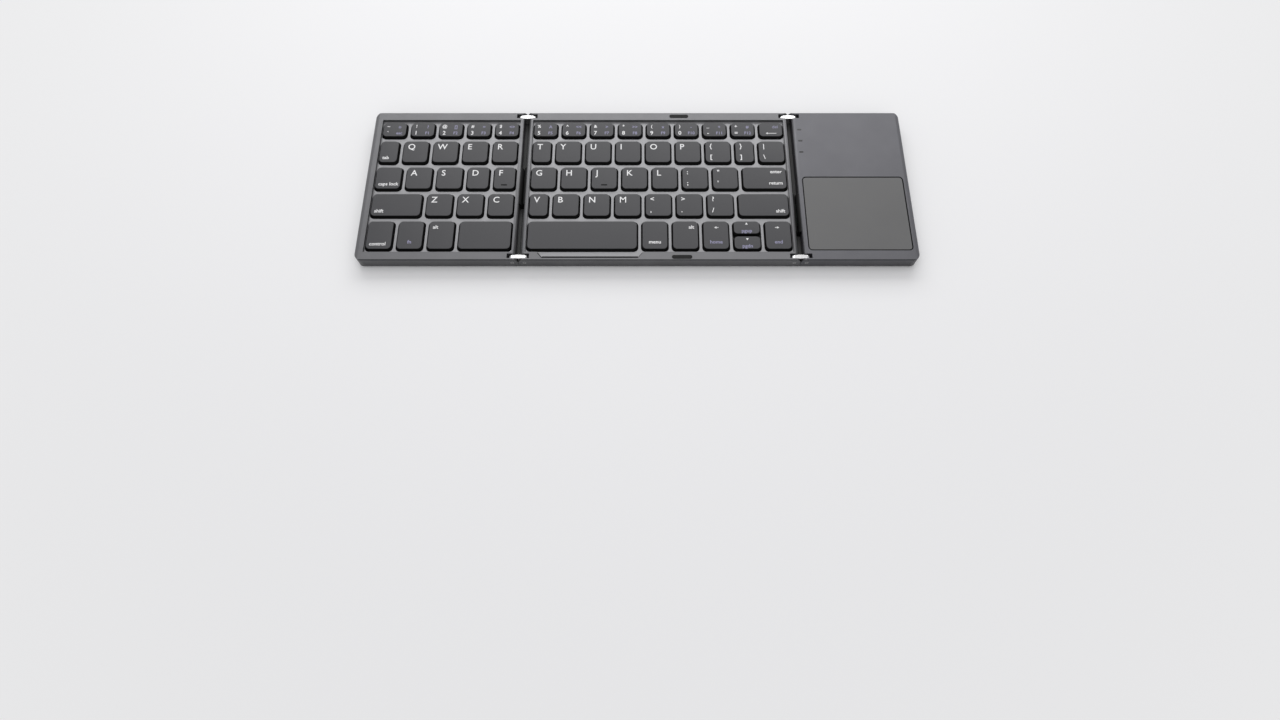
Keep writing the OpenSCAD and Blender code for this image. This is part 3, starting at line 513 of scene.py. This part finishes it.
# Keys of each node, whose body has its name: layout, row, place in the row, kind of legend and its texts
L, C = (LEFT_ROWS, LEFT_TRAY), (CENTRE_ROWS, CENTRE_TRAY)
KEYS = {
    "left_number_keys": [(L, 0, 0, "number", "~", "`", "esc", "o"), (L, 0, 1, "number", "!", "1", "F1", "?"),
                         (L, 0, 2, "number", "@", "2", "F2", "[]"), (L, 0, 3, "number", "#", "3", "F3", "="),
                         (L, 0, 4, "number", "$", "4", "F4", "<>")],
    "tab_key": [(L, 1, 0, "low_left", "tab")],
    "qwer_keys": [(L, 1, i + 1, "letter", c) for i, c in enumerate("QWER")],
    "caps_lock_key": [(L, 2, 0, "low_left", "caps lock")],
    "asdf_keys": [(L, 2, i + 1, "letter", c) for i, c in enumerate("ASDF")],
    "left_shift_key": [(L, 3, 0, "low_left", "shift")],
    "zxc_keys": [(L, 3, i + 1, "letter", c) for i, c in enumerate("ZXC")],
    "control_key": [(L, 4, 0, "low_left", "control")],
    "fn_key": [(L, 4, 1, "blue_middle", "fn")],
    "left_alt_key": [(L, 4, 2, "high_left", "alt")],
    "left_space_key": [(L, 4, 3, "")],
    "centre_number_keys": [(C, 0, i, "number", a, b, f"F{i + 5}", c) for i, (a, b, c) in enumerate((
        ("%", "5", "A"), ("^", "6", "<<"), ("&", "7", ">"), ("*", "8", ">>"), ("(", "9", "x"),
        (")", "0", "-"), ("_", "-", "+"), ("+", "=", "#")))],
    "backspace_key": [(C, 0, 8, "back_arrow", 0, "del")],
    "top_letter_keys": [(C, 1, i, "letter", c) for i, c in enumerate("TYUIOP")]
    + [(C, 1, 6, "pair", "{", "["), (C, 1, 7, "pair", "}", "]"), (C, 1, 8, "pair", "|", "\\")],
    "home_letter_keys": [(C, 2, i, "letter", c) for i, c in enumerate("GHJKL")]
    + [(C, 2, 5, "pair", ":", ";"), (C, 2, 6, "pair", "\"", "'")],
    "enter_key": [(C, 2, 7, "two_right", "enter", "return")],
    "low_letter_keys": [(C, 3, i, "letter", c) for i, c in enumerate("VBNM")]
    + [(C, 3, 4, "pair", "<", ","), (C, 3, 5, "pair", ">", "."), (C, 3, 6, "pair", "?", "/")],
    "right_shift_key": [(C, 3, 7, "low_right", "shift")],
    "space_bar": [(C, 4, 0, "")],
    "command_key": [(C, 4, 1, "middle", "menu")],
    "right_alt_key": [(C, 4, 2, "high_right", "alt")],
    "left_arrow_key": [(C, 4, 3, "arrow", 0, "home")],
    "up_arrow_key": [(C, 4, 1, "half_arrow", -90, "pgup")],
    "down_arrow_key": [(C, 4, -1, "half_arrow", 90, "pgdn")],
    "right_arrow_key": [(C, 4, 5, "arrow", 180, "end")],
}


def box_of(node, layout, r, i):
    """Left, front, right and rear of a key. The up and down arrows share a place: 1 and -1 are its halves."""
    return arrow_half(i) if node in ("up_arrow_key", "down_arrow_key") else key_at(*layout, r, i)


def make_keys():
    for node, keys in KEYS.items():
        caps, prints = [], []
        for layout, r, i, kind, *texts in keys:
            box = box_of(node, layout, r, i)
            caps.append(keycap(box))
            if kind == "letter" and texts[0] in ("F", "J"):
                caps.append(finger_bar(box))
            prints += legend(box, kind, *texts)
        cap = join(caps, node + "_cap")
        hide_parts(node)
        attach(cap, node)
        if prints:
            ink = join(prints, node + "_print")
            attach(ink, node)


# The rubber domes: foot and tip radius, foot and tip level, and the sides and the tip's rounding
DOME_R, DOME_TIP_R, DOME_Z, DOME_TOP = 2.8, 1.5, 4.4, 5.55
DOME_SIDES, DOME_ROUND = 24, 0.2


def make_domes():
    """The domes in their pressed shape, as the poses lower the keys but don't squeeze what is below."""
    for name, body, layout in (("left_domes", "left_wing", L), ("centre_domes", "centre", C)):
        boxes = [box_of(node, *key[:3]) for node, keys in KEYS.items() for key in keys if key[0] is layout]
        made = []
        for x0, y0, x1, y1 in boxes:
            bpy.ops.mesh.primitive_cone_add(
                vertices=DOME_SIDES, radius1=DOME_R * MM, radius2=DOME_TIP_R * MM, depth=(DOME_TOP - DOME_Z) * MM,
                location=((x0 + x1) / 2 * MM, (y0 + y1) / 2 * MM, (DOME_Z + DOME_TOP) / 2 * MM))
            bpy.ops.object.transform_apply(location=True, rotation=True, scale=True)
            made.append(bpy.context.object)
        o = join(made, name + "_pressed")
        pick(edit(o), edge_test=lambda e: all(v.co.z > (DOME_TOP - EPS) * MM for v in e.verts))
        bpy.ops.mesh.bevel(offset=DOME_ROUND * MM, segments=3, affect="EDGES")
        bpy.ops.object.mode_set(mode="OBJECT")
        smooth(o)
        o.data.materials.append(MATS["dome"])
        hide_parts(name)
        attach(o, body)


NODE_MATS = {
    "left_frame": "case_left_shaded", "centre_frame": "case", "right_top_cover": "panel", "left_bottom_cover": "cover",
    "centre_bottom_cover": "cover", "right_bottom_cover": "cover", "left_key_plate": "steel",
    "centre_key_plate": "steel", "left_membrane": "dark_film", "centre_membrane": "dark_film",
    "left_feet": "rubber", "centre_feet": "rubber", "right_feet": "rubber",
    "centre_bumpers": "rubber", "left_screws": "screw", "centre_screws": "screw", "right_screws": "screw",
    "left_grommet": "rubber", "centre_grommets": "rubber", "right_grommet": "rubber",
    "left_hinge_pins": "pin", "centre_hinge_pins": "pin", "right_hinge_pins": "pin",
    "left_hinge_links": "chrome", "right_hinge_links": "chrome", "touchpad_surface": "touchpad",
    "touchpad_board": "dark_board", "main_board": "board", "battery": "cell", "charging_socket": "steel",
    "indicator_lenses": "lens", "right_ribbon_cable": "film"}
# Nodes whose edges are rounded, with the width of the rounding
ROUNDED = {"left_frame": 0.12, "centre_frame": 0.12, "right_top_cover": 0.15, "left_bottom_cover": 0.12,
           "centre_bottom_cover": 0.12, "right_bottom_cover": 0.12, "left_feet": 0.25, "centre_feet": 0.25,
           "right_feet": 0.25, "centre_bumpers": 0.08, "left_hinge_links": 0.3, "right_hinge_links": 0.3,
           "touchpad_surface": 0.1, "battery": 0.5, "left_grommet": 0.12, "centre_grommets": 0.12,
           "right_grommet": 0.12, "left_hinge_pins": 0.08, "centre_hinge_pins": 0.08, "right_hinge_pins": 0.08}


# Vertices closer than this are merged before an edge that is sharper than the angle is rounded
MERGE, SHARP = 0.002, 35


def dress_nodes(nodes):
    for name, mat in NODE_MATS.items():
        o = nodes[name]
        o.data.materials.clear()
        o.data.materials.append(MATS[mat])
        if name in ROUNDED:
            weld = o.modifiers.new("weld", "WELD")
            weld.merge_threshold = MERGE * MM
            bevel = o.modifiers.new("soft_edges", "BEVEL")
            bevel.width = ROUNDED[name] * MM
            bevel.segments = 2
            bevel.limit_method = "ANGLE"
            bevel.angle_limit = radians(SHARP)
            bevel.use_clamp_overlap = True
            bevel.harden_normals = True


# Gold contacts: their number, pitch and half width, the socket's middle, and their span along x and z
CONTACT_N, CONTACT_PITCH, CONTACT_HALF, SOCKET_Y = 5, 0.65, 0.14, FRONT + 30
CONTACT_X, CONTACT_Z = (147.6, 150.6), (3.92, 3.96)


def contacts():
    """Gold contacts on the socket's tongue."""
    rows = [SOCKET_Y + (i - (CONTACT_N - 1) / 2) * CONTACT_PITCH for i in range(CONTACT_N)]
    o = join([block(CONTACT_X, (y - CONTACT_HALF, y + CONTACT_HALF), CONTACT_Z, "gold") for y in rows],
             "socket_contacts")
    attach(o, "right_wing")


def ring(outset, width, low, high):
    """A ring of black painted shade that follows the touchpad's outline, from outset outside it and of that width.
    """
    x0, x1 = RIGHT_GAP + PIN_HALF + PAD_HINGE - outset, RIGHT_END - PAD_IN + outset
    y0, y1 = FRONT + PAD_FRONT - outset, REAR - PAD_REAR + outset
    o = block((x0, x1), (y0, y1), (low, high), "skirt")
    pick(edit(o), edge_test=lambda e: abs(e.verts[0].co.z - e.verts[1].co.z) > (high - low) / 2 * MM)
    bpy.ops.mesh.bevel(offset=(PAD_R + outset) * MM, segments=CORNER_STEPS, affect="EDGES")
    pick(bmesh.from_edit_mesh(o.data), face_test=lambda f: abs(f.normal.z) > LEVEL_FACE)
    bpy.ops.mesh.inset(thickness=width * MM)
    bpy.ops.mesh.bridge_edge_loops()
    bpy.ops.object.mode_set(mode="OBJECT")
    return o


def touchpad_painted_shade():
    """A black ring of painted shade in the groove around the touchpad, and a thin line of painted shade along its
    edge.
    """
    groove_shade = ring(outset=0.33, width=0.3, low=7.2, high=7.62)
    line = ring(outset=0, width=0.3, low=KEY_TOP, high=KEY_TOP + INK)
    o = join([groove_shade, line], "touchpad_painted_shade")
    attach(o, "right_wing")


def scoop_painted_shadow():
    """A strip of black painted shadow along the step at the front of the recess for the thumbs, and along its ends.
    """
    space = key_at(CENTRE_ROWS, CENTRE_TRAY, 4, 0)
    x0, x1, y0, y1 = space[0] + SCOOP_IN, space[2] + SCOOP_SLOPE, FRONT + SCOOP_FRONT, FRONT + RIM_FRONT
    left, right = (x0 + SCOOP_SLOPE, y0), (x1 - SCOOP_SLOPE, y0)
    made = []
    for a, b, width in (((x0, y1), left, SCOOP_END_SHADOW_W), (left, right, SCOOP_SHADOW_W), (right, (x1, y1), SCOOP_END_SHADOW_W)):
        span = Vector(b) - Vector(a)
        o = block((0, span.length), (0, width), (0, 3 * INK), "skirt")
        o.rotation_euler.z = atan2(span.y, span.x)
        o.location = (a[0] * MM, a[1] * MM, DECK_Z * MM)
        bpy.ops.object.transform_apply(location=True, rotation=True, scale=True)
        made.append(o)
    o = join(made, "scoop_painted_shadow")
    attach(o, "centre")


def light(name, size, power, place):
    """A soft box aimed at the keyboard."""
    data = bpy.data.lights.new(name, "AREA")
    data.shape = "RECTANGLE"
    data.size, data.size_y = size
    data.energy = power
    o = bpy.data.objects.new(name, data)
    bpy.context.scene.collection.objects.link(o)
    o.location = place
    o.rotation_euler = (-Vector(place)).to_track_quat("-Z", "Y").to_euler()


# Camera of the photo, fitted to the corners of the unfolded keyboard's top
LENS, SENSOR, CAMERA_AT, PITCH = 20.656, 36, (0.00161, -0.24277, 0.35509), 68.591
# The floor in metres: its side, its drop below the feet, and where it fades into an even background
FLOOR, FLOOR_DROP, FADE_FROM, FADE_TO = 30, 0.0001, 0.15, 0.6
FLOOR_COLOUR, BACKGROUND = (0.86, 0.86, 0.865, 1.0), (0.84, 0.84, 0.845, 1.0)
# The world, as it lights the scene and as the camera sees it
WORLD, WORLD_SEEN = (0.5, 0.5, 0.51, 1), (0.84, 0.84, 0.84, 1)
# Lights: name, size in metres, watts and place
LIGHTS = [("rear_softbox", (1.2, 0.5), 5.0, (0.0, 0.75, 0.55)), ("top_softbox", (1.4, 1.0), 4.0, (-0.1, 0.0, 1.2)),
          ("front_fill", (1.0, 0.5), 0.8, (0.3, -0.9, 0.6))]


def add_camera(scene):
    data = bpy.data.cameras.new("camera")
    data.lens, data.sensor_width = LENS, SENSOR
    cam = bpy.data.objects.new("camera", data)
    scene.collection.objects.link(cam)
    cam.location = CAMERA_AT
    cam.rotation_euler = (radians(90 - PITCH), 0, 0)
    scene.camera = cam
    scene.view_settings.view_transform = "Standard"


def add_floor():
    """A pale floor that fades into an even background, so that no horizon shows."""
    bpy.ops.mesh.primitive_plane_add(size=FLOOR, location=(0, 0, -FLOOR_DROP))
    floor = bpy.context.object
    floor.name = "floor"
    m = Maker("floor_sweep", Roughness=0.9, Specular_IOR_Level=0.1)
    m.color(FLOOR_COLOUR)
    far = m.node("ShaderNodeVectorMath", operation="LENGTH")
    m.put(far.inputs[0], m.coords())
    fade = m.ramp(Value(m, far.outputs["Value"]), FADE_FROM, FADE_TO, "SMOOTHSTEP")
    glow = m.node("ShaderNodeEmission")
    glow.inputs["Color"].default_value = BACKGROUND
    both = m.node("ShaderNodeMixShader")
    m.put(both.inputs[0], fade)
    m.tree.links.new(m.shader.outputs[0], both.inputs[1])
    m.tree.links.new(glow.outputs[0], both.inputs[2])
    m.tree.links.new(both.outputs[0], m.tree.nodes["Material Output"].inputs["Surface"])
    floor.data.materials.append(m.mat)


def add_world(scene):
    """An even world, which the camera sees lighter than it lights the scene."""
    world = bpy.data.worlds.new("studio")
    scene.world = world
    world.use_nodes = True
    tree = world.node_tree
    back = tree.nodes["Background"]
    path = tree.nodes.new("ShaderNodeLightPath")
    mix = tree.nodes.new("ShaderNodeMix")
    mix.data_type = "RGBA"
    mix.inputs[6].default_value = WORLD
    mix.inputs[7].default_value = WORLD_SEEN
    tree.links.new(path.outputs["Is Camera Ray"], mix.inputs[0])
    tree.links.new(mix.outputs[2], back.inputs[0])


def stage():
    add_camera(bpy.context.scene)
    add_floor()
    add_world(bpy.context.scene)
    for row in LIGHTS:
        light(*row)


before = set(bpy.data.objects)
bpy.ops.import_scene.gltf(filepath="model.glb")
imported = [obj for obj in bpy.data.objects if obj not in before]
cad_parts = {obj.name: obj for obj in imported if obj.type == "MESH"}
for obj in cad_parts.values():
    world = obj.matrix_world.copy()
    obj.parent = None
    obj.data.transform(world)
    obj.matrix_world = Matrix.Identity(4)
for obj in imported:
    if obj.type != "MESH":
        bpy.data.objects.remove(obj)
clear()
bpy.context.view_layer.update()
make_materials()
dress_nodes(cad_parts)
make_keys()
make_domes()
contacts()
touchpad_painted_shade()
scoop_painted_shadow()
stage()
bpy.context.view_layer.update()
